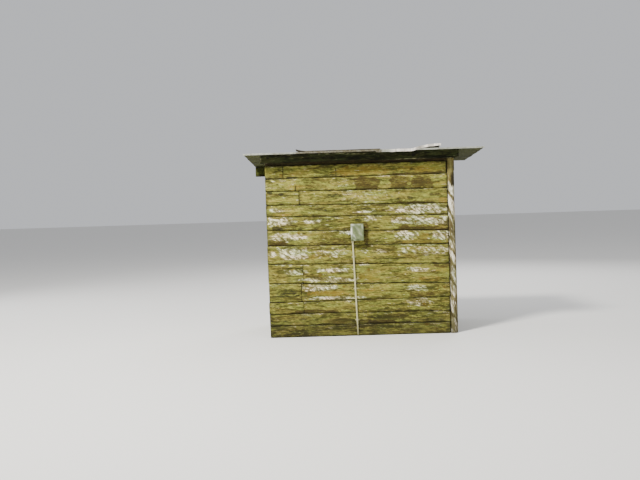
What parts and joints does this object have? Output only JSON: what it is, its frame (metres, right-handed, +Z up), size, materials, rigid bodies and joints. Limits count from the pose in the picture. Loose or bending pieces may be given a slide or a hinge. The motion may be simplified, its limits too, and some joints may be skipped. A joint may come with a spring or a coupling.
{
  "type": "wooden outhouse",
  "caption": "Small rough-sawn board outhouse with a low single-pitch roof, a natural corner pole, a black eaves board and a grey switch box on its plain wall.",
  "frame": {"origin": "on the ground, under the middle of the walls, at the underside of the middle floor joist", "axes": "+X along the long walls towards the natural corner pole, +Y from the plain front wall to the door wall, +Z up"},
  "size_m": [2.964, 1.4223, 2.3636],
  "materials": {
    "siding_wood": "rough-sawn, weathered grey-tan with silvery streaks and dark bark edges",
    "frame_wood": "rough-sawn, shaded brown",
    "floor_wood": "worn, unpainted",
    "pole_wood": "half-peeled natural pole, pale wood with brown bark remnants",
    "door_wood": "rough-sawn, weathered",
    "deck_wood": "rough boards, brown-grey, shaded",
    "plank_wood": "weathered grey plank with a brown edge",
    "black_board": "dark tarred board, dull",
    "roofing_metal": "weathered flat galvanized sheet, dull light grey",
    "box_enamel": "pale grey-green enamel, weathered",
    "lever_metal": "dark grey enamel",
    "conduit_metal": "dull galvanized tube",
    "hinge_iron": "rusty black iron"
  },
  "bodies": {
    "root": {"sill_front": "frame_wood", "sill_back": "frame_wood", "sill_left": "frame_wood", "sill_right": "frame_wood", "floor_joists": "frame_wood", "floor_boards": "floor_wood", "post_front_left": "frame_wood", "corner_pole": "pole_wood", "post_back_left": "frame_wood", "post_back_right": "frame_wood", "front_studs": "frame_wood", "left_stud": "frame_wood", "right_studs": "frame_wood", "top_plate_front": "frame_wood", "top_plate_back": "frame_wood", "side_rail_left": "frame_wood", "side_rail_right": "frame_wood", "front_siding": "siding_wood", "left_siding": "siding_wood", "right_siding": "siding_wood", "back_siding_left": "siding_wood", "back_siding_right": "siding_wood", "back_siding_over_door": "siding_wood", "door_jambs": "frame_wood", "door_header": "frame_wood", "door_boards": "door_wood", "door_battens": "door_wood", "door_hinges": "hinge_iron", "door_latch": "door_wood", "rafters": "frame_wood", "roof_deck": "deck_wood", "roofing_sheet_1": "roofing_metal", "roofing_sheet_2": "roofing_metal", "roofing_sheet_3": "roofing_metal", "roofing_sheet_4": "roofing_metal", "roof_plank": "plank_wood", "front_fascia": "black_board", "back_fascia": "deck_wood", "switch_box": "box_enamel", "box_cover": "box_enamel", "box_lever": "lever_metal", "conduit": "conduit_metal", "conduit_straps": "conduit_metal"}
  },
  "joints": []
}
